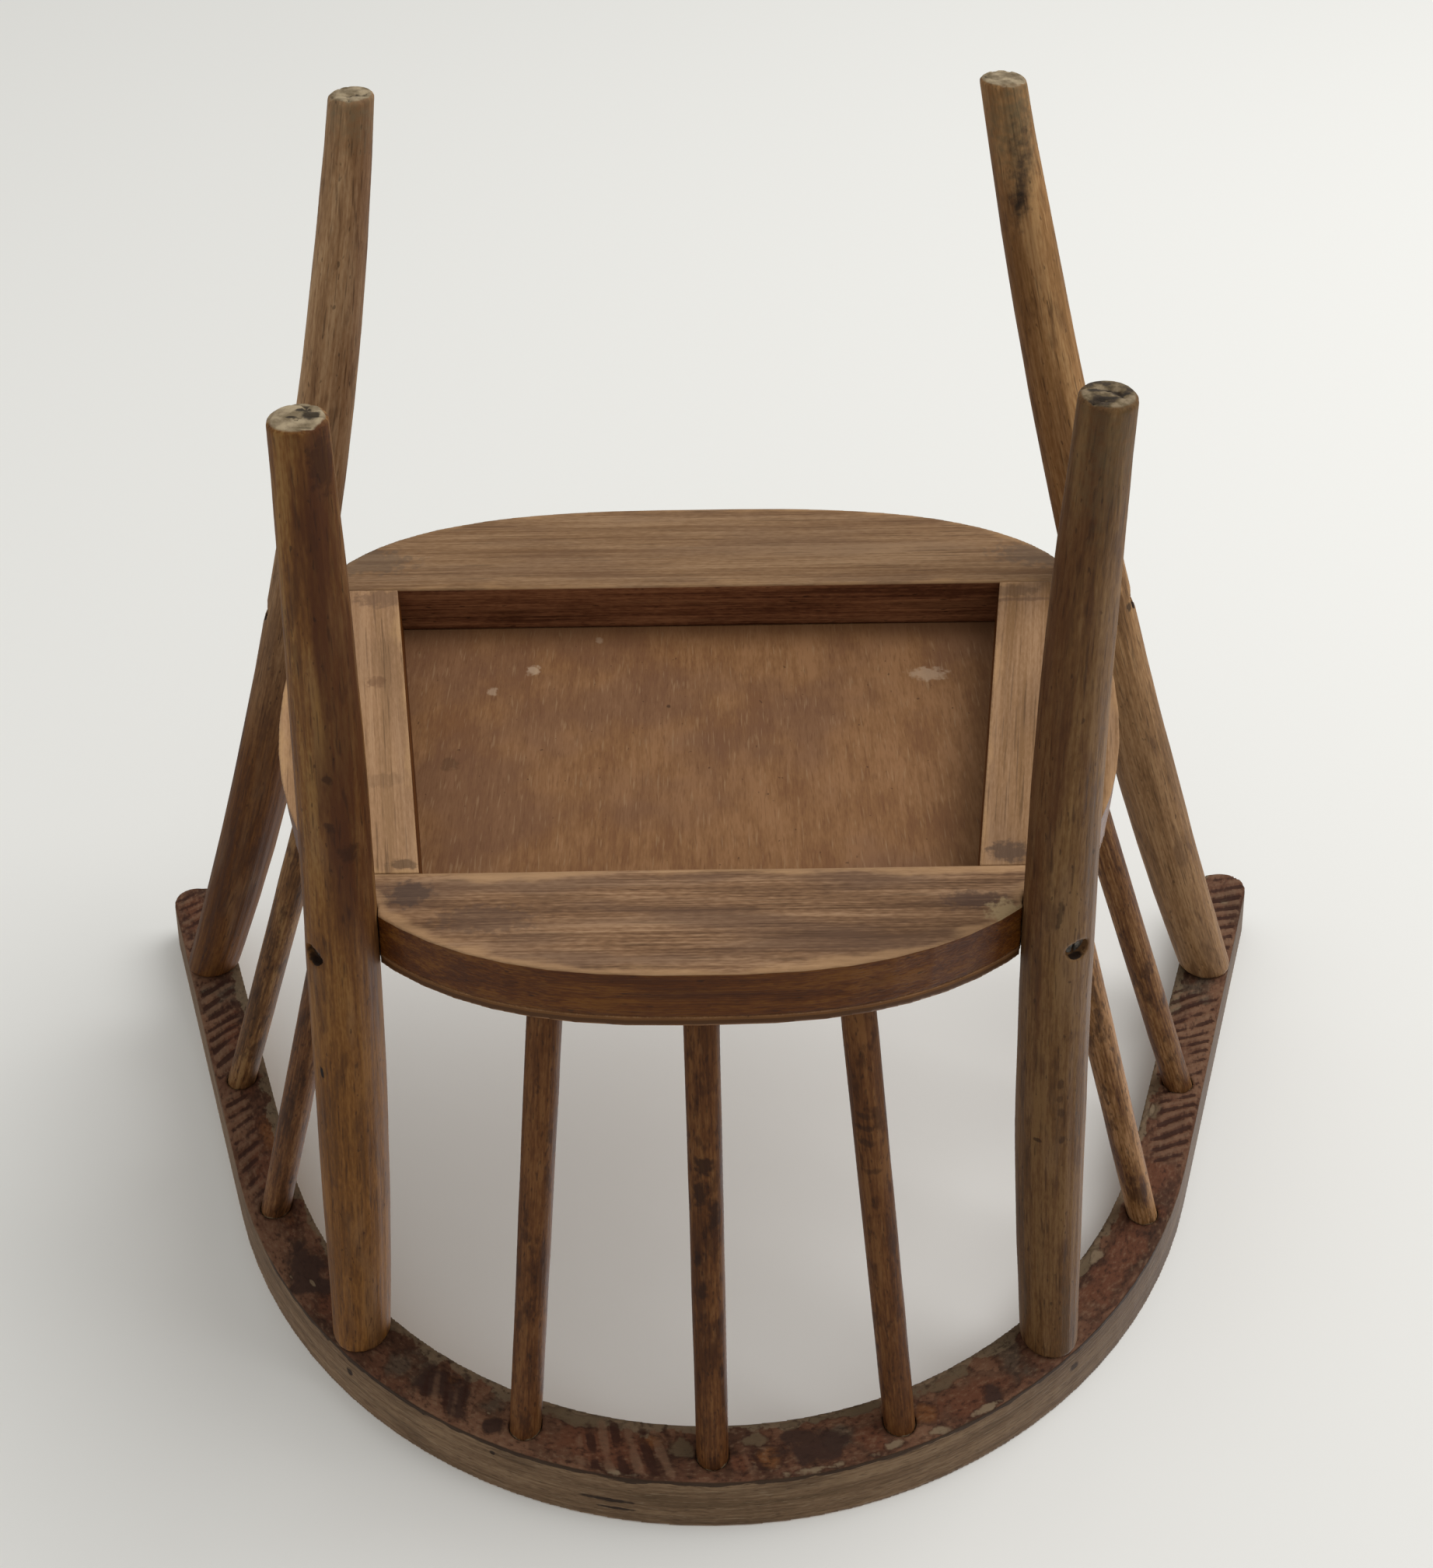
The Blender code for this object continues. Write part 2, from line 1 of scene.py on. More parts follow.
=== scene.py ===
"""Child's armchair, dressed for the picture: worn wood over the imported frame, with camera, floor and light.

The chair stands upright, feet on Z = 0; the camera sees it from below and behind, as it lies on its arm bow.
"""
import json
import math

import bpy
import numpy as np
from mathutils import Matrix, Vector, kdtree

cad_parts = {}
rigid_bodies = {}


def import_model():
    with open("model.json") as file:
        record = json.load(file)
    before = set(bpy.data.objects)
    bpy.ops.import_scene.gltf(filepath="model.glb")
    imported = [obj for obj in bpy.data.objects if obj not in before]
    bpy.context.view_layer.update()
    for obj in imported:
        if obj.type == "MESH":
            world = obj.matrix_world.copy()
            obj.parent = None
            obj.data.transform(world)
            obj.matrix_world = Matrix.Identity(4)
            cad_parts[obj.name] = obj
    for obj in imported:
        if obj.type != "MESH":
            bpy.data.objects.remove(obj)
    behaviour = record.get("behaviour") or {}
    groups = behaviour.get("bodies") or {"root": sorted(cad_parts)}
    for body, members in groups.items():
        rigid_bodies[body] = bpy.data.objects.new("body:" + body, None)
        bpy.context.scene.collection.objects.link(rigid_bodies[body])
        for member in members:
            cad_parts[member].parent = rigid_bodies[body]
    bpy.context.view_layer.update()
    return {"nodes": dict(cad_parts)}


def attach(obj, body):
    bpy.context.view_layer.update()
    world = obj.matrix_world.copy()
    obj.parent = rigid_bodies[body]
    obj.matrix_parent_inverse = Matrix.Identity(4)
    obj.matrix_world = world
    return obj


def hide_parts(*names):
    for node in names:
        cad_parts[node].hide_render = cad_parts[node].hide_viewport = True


for leftover in list(bpy.data.objects):
    bpy.data.objects.remove(leftover, do_unlink=True)

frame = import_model()
nodes = frame["nodes"]

# Sizes of the part, in metres

CHAIR_HEIGHT = 0.435
BOW_UNDERSIDE = 0.408
BOW_RADIUS = 0.2037
BOW_CENTRE_Y = -0.05865
BOW_SWEEP = math.radians(69.05)
BOW_THICKNESS = 0.027
BOW_LEAN = 0.0033
RAIL_BOTTOM = 0.1925
RAIL_TOP = 0.2125
FRONT_JOINT_Y = -0.1043
# share of the way back by which the side rails' inner edges close in
OPENING_TAPER = 0.168

POSTS = ("post_front_left", "post_front_right", "post_rear_left", "post_rear_right")
SPINDLES = ("spindle_back_centre", "spindle_back_left", "spindle_back_right", "spindle_left_front",
            "spindle_left_rear", "spindle_right_front", "spindle_right_rear")
RAILS = ("seat_rail_front", "seat_rail_rear", "seat_rail_left", "seat_rail_right")

# Fineness of the worn copies, each step halving the cells, and how often their edges are eased;
# the cells come to about 1 mm on the bow and posts
BOW_DEPTH, BOW_EASE = 9, 2
POST_DEPTH, POST_EASE = 9, 3
SPINDLE_DEPTH, SPINDLE_EASE = 8, 2
RAIL_DEPTH, RAIL_EASE = 8, 2
PANEL_DEPTH, PANEL_EASE = 8, 1
CELL_FIT = 0.98
WELD = 0.00001

# Depth of the wear, in metres
SAW_DEPTH = 0.0007
ROUGHNESS_DEPTH = 0.0004
CHIP_DEPTH = 0.0004
DENT_DEPTH = 0.0003
GRAIN_DEPTH = 0.00022
SPLIT_DEPTH = 0.0011

# Fineness of the wear: cells of noise to a metre, twice across the grain and once along it
BOW_LUMPS = (300, 300, 130)
POST_DENTS = (160, 160, 42)
POST_GRAIN = (420, 420, 16)
FOOT_SPLITS = (150, 420, 0)
ROD_DENTS = (230, 230, 60)
RAIL_DENTS = (260, 260, 30)

# Numbers that stir the place of a lattice corner into an even spread of values
CORNER_FACTORS = np.array((73856093, 19349663, 83492791), dtype=np.uint64)
STIRS = ((2654435761, 15), (2246822519, 13))
LOW_BITS = 0xFFFFFFFF


# Worn copies of the solids

def lattice_noise(points):
    """Smooth noise from 0 to 1 at each point, one lattice cell to a unit."""
    cell = np.floor(points).astype(np.int64)
    inside = points - cell
    inside = inside * inside * (3.0 - 2.0 * inside)
    total = np.zeros(len(points))
    for corner in range(8):
        step = np.array([corner & 1, (corner >> 1) & 1, (corner >> 2) & 1])
        at = (cell + step).astype(np.uint64)
        mixed = np.bitwise_xor.reduce(at * CORNER_FACTORS, axis=1)
        for multiplier, shift in STIRS:
            mixed = (mixed & np.uint64(LOW_BITS)) * np.uint64(multiplier)
            mixed ^= mixed >> np.uint64(shift)
        value = (mixed & np.uint64(LOW_BITS)) / LOW_BITS
        total += value * np.prod(np.where(step, inside, 1.0 - inside), axis=1)
    return total


def ramp(value, low, high):
    """0 below low, 1 above high, eased between."""
    share = np.clip((value - low) / (high - low), 0.0, 1.0)
    return share * share * (3.0 - 2.0 * share)


def read(mesh, what):
    """The places or normals of all vertices, one row each."""
    values = np.empty(len(mesh.vertices) * 3)
    mesh.vertices.foreach_get(what, values)
    return values.reshape(-1, 3)


def worn_copy(node, depth, ease):
    """A finely meshed copy of a solid with eased edges, which stands for the solid."""
    piece = bpy.data.objects.new(node + "_worn", nodes[node].data.copy())
    bpy.context.scene.collection.objects.link(piece)
    piece.modifiers.new("weld", "WELD").merge_threshold = WELD
    cells = piece.modifiers.new("cells", "REMESH")
    cells.mode = "SHARP"
    cells.octree_depth = depth
    cells.scale = CELL_FIT
    cells.use_remove_disconnected = False
    cells.use_smooth_shade = True
    eased = piece.modifiers.new("ease", "SMOOTH")
    eased.factor = 0.5
    eased.iterations = ease
    mesh = bpy.data.meshes.new_from_object(piece.evaluated_get(bpy.context.evaluated_depsgraph_get()))
    piece.modifiers.clear()
    piece.data = mesh
    piece.data.materials.clear()
    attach(piece, "root")
    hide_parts(node)
    return piece


def carve(piece, relief):
    """Moves the surface out by the relief, in metres, at each vertex."""
    mesh = piece.data
    moved = read(mesh, "co") + read(mesh, "normal") * relief[:, None]
    mesh.vertices.foreach_set("co", moved.ravel())
    mesh.update()


def note(piece, name, values):
    """Keeps a number or a vector for each vertex, for the materials to read."""
    kind = "FLOAT" if values.ndim == 1 else "FLOAT_VECTOR"
    field = piece.data.attributes.new(name, kind, "POINT")
    field.data.foreach_set("value" if values.ndim == 1 else "vector", values.astype(np.float32).ravel())


# Arm bow: saw marks across its underside, and patches where an old coat has come away

# Runs of saw marks: first and last place along the bow, pitch, skew and inner limit, in mm; then their strength
SAW_RUNS = (
    (243, 287, 6.4, 0.75, -5, 1.0), (287, 345, 6.4, 0.8, -12, 1.0), (376, 440, 7.0, 0.6, -5, 1.0),
    (-362, -303, 7.1, 0.42, -6, 1.0), (-292, -226, 8.0, 0.5, -1, 0.7), (-440, -375, 8.0, 0.4, -4, 0.7),
    (-119, -95, 7.5, 0.5, -9, 0.4), (-52, -14, 10.7, 0.47, -9, 1.0), (6, 30, 9.0, 0.4, -4, 0.35),
)
# How far the marks fade at a run's ends and inner limit, and where they fade out near the edge, in mm
RUN_FADE = 4
INNER_FADE = 3
OUTER_FADE = (9.0, 10.2)


def bow_grain(points):
    """Across the bow, height and distance along it, in metres."""
    x, y = np.abs(points[:, 0]), points[:, 1] - BOW_CENTRE_Y
    angle = np.minimum(np.arctan2(x, y), BOW_SWEEP)
    along = BOW_RADIUS * angle + x * np.cos(angle) - y * np.sin(angle)
    height = points[:, 2] - BOW_UNDERSIDE
    across = x * np.sin(angle) + y * np.cos(angle) - BOW_RADIUS - BOW_LEAN * height / BOW_THICKNESS
    return np.stack((across, height, along * np.sign(points[:, 0])), axis=1)


def saw_marks(across, along):
    """1 at the bottom of a saw cut and -1 on the ridge beside it; 0 where the saw has left no marks."""
    total = np.zeros(len(along))
    s, a = along * 1000, across * 1000
    # the pitch wanders, and the marks are broken up
    drift = lattice_noise(np.stack((s / 17 + 40, a / 30, s * 0), axis=1)) * 0.9
    patchy = 0.2 + 1.2 * lattice_noise(np.stack((s / 7 + 5, a / 5, s * 0 + 3), axis=1))
    for first, last, pitch, skew, inner, strength in SAW_RUNS:
        cut = np.cos(2 * math.pi * ((s - skew * a) / pitch + drift))
        window = ramp(s, first - RUN_FADE, first + RUN_FADE) * (1 - ramp(s, last - RUN_FADE, last + RUN_FADE))
        window = window * ramp(a, inner - INNER_FADE, inner + INNER_FADE)
        total += strength * cut * patchy * window
    return np.clip(total * (1 - ramp(a, *OUTER_FADE)), -1.0, 1.0)


# Patches of the bow's underside: place along and across the bow, half length and half width, in mm
BOW_PATCHES = {
    "grey": ((-353, 0, 12, 10), (-128, 1, 10, 10), (-89, -1, 6, 6), (48, -1, 5, 6), (123, 0, 8, 10),
             (349, -2, 10, 9)),
    "red": ((-320, -2, 30, 8), (-245, -2, 40, 8), (-169, 3, 9, 6), (-43, 1, 28, 9), (9, 4, 5, 5),
            (59, 3, 8, 6), (99, 3, 22, 8), (190, 2, 50, 8), (236, 1, 14, 8), (-410, 2, 20, 8)),
    "orange": ((-108, -4, 4, 3), (-23, -3.5, 5, 3.5), (20, 3, 6, 5), (80, 1.5, 6, 5), (-262, -5, 13, 5),
               (-225, -4, 12, 6)),
    "skin": ((-190, 1, 13, 9), (-107, 1, 12, 7.5), (-84, 5, 4, 3.5), (36, 2.5, 11, 7.5), (33, -4, 10, 3),
             (108, 6, 4, 5)),
    "pale": ((-13, -3, 5.5, 5), (-55, -7.5, 14, 2.5), (14, -5, 9, 3), (94, -7, 15, 2.5), (180, -8.5, 14, 2),
             (271, -6.5, 8, 2.8), (60, -9, 30, 1.5)),
    "chip": ((186, -6.5, 5, 2.2), (38, 9.7, 16, 1.7), (81, 9.2, 9, 2.2), (66, 8, 3.5, 1.8),
             (409, 2.5, 3, 2.3), (-88, 1, 2, 1.2), (-35, 10, 6, 1.3), (-190.7, 7.7, 1.5, 0.7),
             (-183, 2.4, 2, 0.6), (271, -7.5, 5, 1.5), (104, 9.6, 8, 1.4)),
}


def patch_field(space, places):
    """Distance from the nearest patch's middle, 1 on its rim."""
    reach = np.full(len(space), 3.0)
    for along, across, length, width in places:
        away = np.hypot((space[:, 2] * 1000 - along) / length, (space[:, 0] * 1000 - across) / width)
        reach = np.minimum(reach, away)
    return reach


bow = worn_copy("arm_bow", BOW_DEPTH, BOW_EASE)
bow_points, bow_normals = read(bow.data, "co"), read(bow.data, "normal")
bow_space = bow_grain(bow_points)
under = ramp(-bow_normals[:, 2], 0.6, 0.85)
marks = saw_marks(bow_space[:, 0], bow_space[:, 2]) * under
lumps = lattice_noise(bow_space * BOW_LUMPS) - 0.5
fields = {name: patch_field(bow_space, places) for name, places in BOW_PATCHES.items()}
torn_off = (1 - ramp(np.minimum(fields["chip"], fields["pale"]), 0.8, 1.1)) * under
carve(bow, -SAW_DEPTH * marks + ROUGHNESS_DEPTH * lumps * under - CHIP_DEPTH * torn_off)
note(bow, "grain", bow_space)
note(bow, "saw", marks)
for name, field in fields.items():
    note(bow, name, field)


# Posts and spindles: long grain with shallow dents, and split feet

# Steps in the noise from one piece to the next, so that no two have the same dents
POST_STEP = 0.31
ROD_STEP = 0.23


def round_grain(points, degree):
    """Offsets from the piece's own bent axis, and height."""
    height = points[:, 2]
    centres = [np.polyval(np.polyfit(height, points[:, axis], degree), height) for axis in (0, 1)]
    return np.stack((points[:, 0] - centres[0], points[:, 1] - centres[1], height), axis=1)


for number, name in enumerate(POSTS):
    post = worn_copy(name, POST_DEPTH, POST_EASE)
    points, normals = read(post.data, "co"), read(post.data, "normal")
    space = round_grain(points, 2)
    shifted = space + number * POST_STEP
    dents = lattice_noise(shifted * POST_DENTS) - 0.5
    grain = lattice_noise(shifted * POST_GRAIN) - 0.5
    foot = ramp(-normals[:, 2], 0.7, 0.9) * (1 - ramp(points[:, 2], 0.002, 0.004))
    split = 1 - ramp(np.abs(lattice_noise(shifted * FOOT_SPLITS + number) - 0.5), 0.0, 0.07)
    carve(post, (DENT_DEPTH * dents + GRAIN_DEPTH * grain) * (1 - foot) - SPLIT_DEPTH * split * foot)
    note(post, "grain", space)
    note(post, "split", split * foot)

for number, name in enumerate(SPINDLES):
    spindle = worn_copy(name, SPINDLE_DEPTH, SPINDLE_EASE)
    points = read(spindle.data, "co")
    space = round_grain(points, 1)
    shifted = space + number * ROD_STEP
    carve(spindle, DENT_DEPTH * 0.8 * (lattice_noise(shifted * ROD_DENTS) - 0.5))
    note(spindle, "grain", space)


# Seat frame and panel: grain along each rail's inner edge, front to back on the plywood

def rim_distance(points, normals):
    """How far each vertex of the underside lies from the nearest upright face, in metres."""
    upright = points[np.abs(normals[:, 2]) < 0.5]
    tree = kdtree.KDTree(len(upright))
    for number, place in enumerate(upright):
        tree.insert(place, number)
    tree.balance()
    return np.array([tree.find(place)[2] if facing < -0.5 else 0.0
                     for place, facing in zip(points, normals[:, 2])])


for name in RAILS:
    rail = worn_copy(name, RAIL_DEPTH, RAIL_EASE)
    points, normals = read(rail.data, "co"), read(rail.data, "normal")
    if name.endswith(("front", "rear")):
        space = points[:, (1, 2, 0)]
    else:
        space = points[:, (0, 2, 1)]
        space[:, 0] += np.sign(points[:, 0]) * OPENING_TAPER * points[:, 1]
    rim = rim_distance(points, normals)
    carve(rail, DENT_DEPTH * 0.5 * (lattice_noise(space * RAIL_DENTS) - 0.5))
    note(rail, "grain", space)
    note(rail, "rim", rim)

panel = worn_copy("seat_panel", PANEL_DEPTH, PANEL_EASE)
note(panel, "grain", read(panel.data, "co")[:, (0, 2, 1)])


# Materials

def hex_colour(code):
    """The linear colour of an sRGB hex value."""
    parts = [int(code[at:at + 2], 16) / 255 for at in (1, 3, 5)]
    return [part / 12.92 if part <= 0.04045 else ((part + 0.055) / 1.055) ** 2.4 for part in parts] + [1.0]


def add(tree, kind, inputs=None, out=0, stops=(), **settings):
    """Adds a shader node with its settings, values, links and colour stops, and gives one of its outputs."""
    node = tree.nodes.new("ShaderNode" + kind)
    for name, value in settings.items():
        setattr(node, name, value)
    for number, (place, code) in enumerate(stops):
        band = node.color_ramp.elements
        stop = band[0] if number == 0 else band[1] if number == 1 else band.new(place)
        stop.position, stop.color = place, hex_colour(code)
    for socket, value in (inputs or {}).items():
        if isinstance(value, bpy.types.NodeSocket):
            tree.links.new(value, node.inputs[socket])
        else:
            node.inputs[socket].default_value = value
    return node.outputs[out] if node.outputs else None


def new_finish(name):
    """An empty material and its node tree."""
    material = bpy.data.materials.new(name)
    material.use_nodes = True
    material.node_tree.nodes.clear()
    return material, material.node_tree


def streaks(tree, space, across, along, seed, detail=3.0):
    """Noise drawn out along the grain; its width and length are in millimetres."""
    size = (1000 / across, 1000 / across, 1000 / along)
    stretched = add(tree, "VectorMath", {0: space, 1: size, 2: (seed * 7.3, seed * 3.1, seed * 5.7)},
                    operation="MULTIPLY_ADD")
    return add(tree, "TexNoise", {"Vector": stretched, "Scale": 1.0, "Detail": detail, "Roughness": 0.55})


def laid_over(tree, colour, code, pattern, low, high, share=1.0):
    """Lays a second colour over the first where a pattern passes from low to high."""
    mask = add(tree, "MapRange", {0: pattern, 1: low, 2: high, 4: share}, interpolation_type="SMOOTHSTEP")
    return add(tree, "Mix", {0: mask, 6: colour, 7: hex_colour(code)}, out=2, data_type="RGBA")


def marked(tree, colour, code, place, size, share=1.0, ragged=0.8, soft=0.5, space=None):
    """Lays a colour over one ragged spot; its place and half sizes are in millimetres."""
    here = space or add(tree, "TexCoord", out="Object")
    scale = tuple(1000 / part for part in size)
    start = tuple(-at / part for at, part in zip(place, size))
    away = add(tree, "VectorMath", {0: here, 1: scale, 2: start}, operation="MULTIPLY_ADD")
    reach = add(tree, "VectorMath", {0: away}, out="Value", operation="LENGTH")
    rough = streaks(tree, here, 2.5, 2.5, place[0])
    reach = add(tree, "Math", {0: rough, 1: ragged * 2, 2: reach}, operation="MULTIPLY_ADD")
    return laid_over(tree, colour, code, reach, 1.0 + ragged, 1.0 + ragged - soft, share)


def tone_stops(tones, low=0.41, high=0.59):
    """Colour stops of a dark, a middle and a light tone."""
    return (low, tones[0]), (high, tones[2]), (0.5, tones[1])


def figured(tree, space, seed, width, length, tones):
    """Wood figure in a dark, a middle and a light tone: soft mottling, thin grain lines, short fibres."""
    mottle = streaks(tree, space, width * 4, length * 0.5, seed, 3.0)
    lines = streaks(tree, space, width * 0.5, length * 0.3, seed + 1, 2.0)
    fibres = streaks(tree, space, 0.7, 3.5, seed + 2, 1.0)
    figure = add(tree, "Mix", {0: 0.4, 2: mottle, 3: lines})
    figure = add(tree, "Mix", {0: 0.2, 2: figure, 3: fibres})
    return add(tree, "ValToRGB", {0: figure}, stops=tone_stops(tones)), figure


def surface(tree, colour, roughness, height, depth, **values):
    """Closes a material; the depth of its relief is in metres."""
    bump = add(tree, "Bump", {"Height": height, "Distance": depth})
    inputs = {"Base Color": colour, "Roughness": roughness, "Normal": bump, **values}
    shader = add(tree, "BsdfPrincipled", inputs)
    add(tree, "OutputMaterial", {"Surface": shader})


# Dry old varnish leaves the wood nearly matt
DRY_WOOD = {"IOR": 1.5, "Specular IOR Level": 0.16}


# Turned beech under worn brown varnish: long streaks, dark red bands that are partly painted shade, dark flecks
# and knots, rubbed tan patches, and bare split end grain on the feet. Beech pores are 0.1 mm and don't show;
# streaks are 1 to 3 mm.

def turned_beech(name, seed, leg_tones_and_light, arm_tones_and_shade, end_tones, reddish_shade_band_turn, band, marks, breaks):
    material, tree = new_finish(name)
    space = add(tree, "Attribute", out="Vector", attribute_name="grain")
    height = add(tree, "SeparateXYZ", {0: space}, out=2)
    leg, figure = figured(tree, space, seed, 2.2, 150.0, leg_tones_and_light)
    arm = add(tree, "ValToRGB", {0: figure}, stops=tone_stops(arm_tones_and_shade))
    # the legs' lighter and the upper part's darker tones: partly the wood's own, partly painted light on the
    # legs and painted shade above the seat
    above = add(tree, "MapRange", {0: height, 1: RAIL_BOTTOM - 0.06, 2: RAIL_TOP + 0.06})
    colour = add(tree, "Mix", {0: above, 6: leg, 7: arm}, out=2, data_type="RGBA")
    colour = laid_over(tree, colour, "#7d6249", streaks(tree, space, 12.0, 60.0, seed + 3), 0.5, 0.7, 0.3)
    # dark red band down the side that faces the middle of the chair: partly the wood's reddish tone, partly
    # painted shade
    toward = (math.cos(reddish_shade_band_turn), math.sin(reddish_shade_band_turn), 0.0)
    side = add(tree, "VectorMath", {0: space, 1: toward}, out="Value", operation="DOT_PRODUCT")
    side = add(tree, "Math", {0: streaks(tree, space, 5.0, 60.0, seed + 4, 4.0), 1: 0.022, 2: side},
               operation="MULTIPLY_ADD")
    side = add(tree, "Math", {0: above, 1: -0.012, 2: side}, operation="MULTIPLY_ADD")
    colour = laid_over(tree, colour, "#46220e", side, 0.0125, 0.021, band)
    # dark clouds, thin streaks and flecks
    clouds = streaks(tree, space, 6.0, 22.0, seed + 8, 4.0)
    colour = laid_over(tree, colour, "#3a1f0f", clouds, 0.54, 0.68, 0.4)
    thin = streaks(tree, space, 0.9, 13.0, seed + 5, 1.0)
    colour = laid_over(tree, colour, "#2c170b", thin, 0.58, 0.74, 0.5)
    flecks = streaks(tree, space, 1.3, 4.0, seed + 6, 1.0)
    colour = laid_over(tree, colour, "#1f0f07", flecks, 0.68, 0.76, 0.5)
    for place, size, code, share, soft in marks:
        colour = marked(tree, colour, code, place, size, share, 0.8, soft)
    facing = add(tree, "SeparateXYZ", {0: add(tree, "NewGeometry", out="Normal")}, out=2)
    foot = add(tree, "MapRange", {0: facing, 1: -0.72, 2: -0.9})
    # painted shade: downward faces above the foot, inside the screw bores, go near black
    shaded_bore = add(tree, "MapRange", {0: height, 1: 0.008, 2: 0.01})
    end = add(tree, "ValToRGB", {0: streaks(tree, space, 4.5, 4.5, seed + 7, 4.0)},
              stops=tone_stops(end_tones, 0.4, 0.6))
    split = add(tree, "Attribute", out="Fac", attribute_name="split")
    end = laid_over(tree, end, "#1f150d", split, 0.35, 0.8, 0.85)
    for (across, away), (width, depth) in breaks:
        end = marked(tree, end, "#2b231b", (across, away, 0.0), (width, depth, 4.0), 0.9, 0.6, 0.4, space)
    end = add(tree, "Mix", {0: shaded_bore, 6: end, 7: hex_colour("#24160c")}, out=2, data_type="RGBA")
    colour = add(tree, "Mix", {0: foot, 6: colour, 7: end}, out=2, data_type="RGBA")
    gloss = add(tree, "MapRange", {0: figure, 1: 0.38, 2: 0.62, 3: 0.62, 4: 0.75})
    surface(tree, colour, gloss, figure, 0.0004, **DRY_WOOD)
    return material


KNOT = "#2b160a"
CRACK = "#150a04"
PALE_END = ("#76674f", "#8f7f66", "#a69579")
DARK_END = ("#3f3428", "#66573f", "#8a7960")
# For each post: tones of the leg, partly painted light, of the part above the seat, partly painted shade, and
# of the foot's end, turn and share of the dark red band, partly painted shade, single marks with their place
# and half sizes in mm, colour, share and softness, and dark breaks in the foot's end with their place and half
# sizes
POST_FINISHES = {
    "post_front_left": (
        ("#825d34", "#987046", "#ad8659"), ("#6c4e2f", "#846240", "#9a7854"), PALE_END,
        math.radians(150), 0.4, (
            ((106.0, -109.5, 9.0), (16.0, 16.0, 30.0), "#61563f", 0.8, 1.3),
            ((109.4, -108.0, 27.0), (7.0, 10.0, 27.0), "#332a23", 0.85, 1.2),
            ((110.0, -107.6, 38.0), (3.6, 7.0, 9.0), "#1a1512", 0.85, 1.1),
            ((168.7, -99.6, 202.6), (2.0, 2.0, 2.5), CRACK, 0.7, 0.5)), ()),
    "post_front_right": (
        ("#826040", "#997653", "#ae8d69"), ("#44250d", "#563212", "#68421e"), PALE_END,
        math.radians(30), 0.4, (
            ((-112.0, -110.0, 4.0), (16.0, 16.0, 18.0), "#71654d", 0.65, 1.3),), ()),
    "post_rear_left": (
        ("#593d20", "#6c4c2a", "#7f603c"), ("#4f351a", "#604123", "#725433"), DARK_END,
        math.radians(150), 0.6, (
            ((102.0, 96.0, 8.0), (16.0, 16.0, 46.0), "#594c34", 0.5, 1.3),
            ((115.1, 90.8, 293.8), (2.0, 2.0, 1.2), KNOT, 0.7, 0.5),
            ((119.8, 89.8, 264.3), (1.5, 1.5, 2.6), KNOT, 0.5, 0.5),
            ((120.2, 90.5, 271.5), (1.3, 1.3, 2.2), KNOT, 0.4, 0.5),
            ((121.5, 91.1, 278.4), (1.6, 1.6, 3.0), KNOT, 0.5, 0.5),
            ((123.1, 92.2, 291.7), (1.6, 1.6, 2.8), KNOT, 0.6, 0.5),
            ((111.1, 86.3, 185.4), (1.2, 3.0, 8.5), CRACK, 0.5, 0.5)),
        (((-2.0, -1.5), (3.5, 1.0)), ((3.0, 0.5), (3.0, 0.9)), ((-0.5, 2.5), (4.0, 0.8)))),
    "post_rear_right": (
        ("#623d1a", "#774f26", "#8b673a"), ("#5a3816", "#6e461d", "#82582b"), PALE_END,
        math.radians(40), 0.8, (
            ((-108.4, 89.7, 122.4), (2.0, 2.0, 2.2), KNOT, 0.6, 0.5),
            ((-110.6, 88.3, 142.6), (2.2, 2.2, 3.0), KNOT, 0.6, 0.5),
            ((-107.2, 86.1, 155.0), (4.0, 3.0, 5.0), KNOT, 0.55, 0.5),
            ((-125.8, 79.9, 204.0), (3.0, 3.4, 6.0), "#2a1a10", 0.9, 0.5),
            ((-131.7, 84.8, 258.1), (0.8, 3.0, 4.5), CRACK, 1.0, 0.5),
            ((-90.9, 99.2, 12.0), (4.5, 6.0, 12.0), "#2a140a", 0.5, 0.5)),
        (((3.2, -0.6), (2.6, 2.4)), ((-1.4, 0.4), (1.8, 0.7)), ((1.0, -3.0), (2.4, 0.8)))),
}
for number, name in enumerate(POSTS):
    finish = turned_beech("turned beech, " + name.replace("_", " "), 10.0 * number, *POST_FINISHES[name])
    bpy.data.objects[name + "_worn"].data.materials.append(finish)


# Beech rod, stained: darker than the posts and blotched, with a torn pale collar of glue where it enters
# the bow

def stained_rod(name, seed, tones, marks):
    material, tree = new_finish(name)
    space = add(tree, "Attribute", out="Vector", attribute_name="grain")
    colour, figure = figured(tree, space, seed, 1.8, 80.0, tones)
    blotches = streaks(tree, space, 5.0, 12.0, seed + 3, 4.0)
    colour = laid_over(tree, colour, "#301709", blotches, 0.53, 0.66, 0.6)
    flecks = streaks(tree, space, 1.2, 3.6, seed + 4, 1.0)
    colour = laid_over(tree, colour, "#1c0d06", flecks, 0.6, 0.72, 0.5)
    rubbed = streaks(tree, space, 2.0, 9.0, seed + 5)
    colour = laid_over(tree, colour, "#85613f", rubbed, 0.58, 0.72, 0.2)
    for place, size, share in marks:
        colour = marked(tree, colour, "#25130a", place, size, share, 0.8, 0.6)
    height = add(tree, "SeparateXYZ", {0: space}, out=2)
    ragged = add(tree, "Math", {0: streaks(tree, space, 4.0, 8.0, seed + 6), 1: 0.004, 2: height},
                 operation="MULTIPLY_ADD")
    colour = laid_over(tree, colour, "#8f7d63", ragged, BOW_UNDERSIDE + 0.0022, BOW_UNDERSIDE + 0.0028, 0.7)
    gloss = add(tree, "MapRange", {0: figure, 1: 0.38, 2: 0.62, 3: 0.6, 4: 0.72})
    surface(tree, colour, gloss, figure, 0.0004, **DRY_WOOD)
    return material


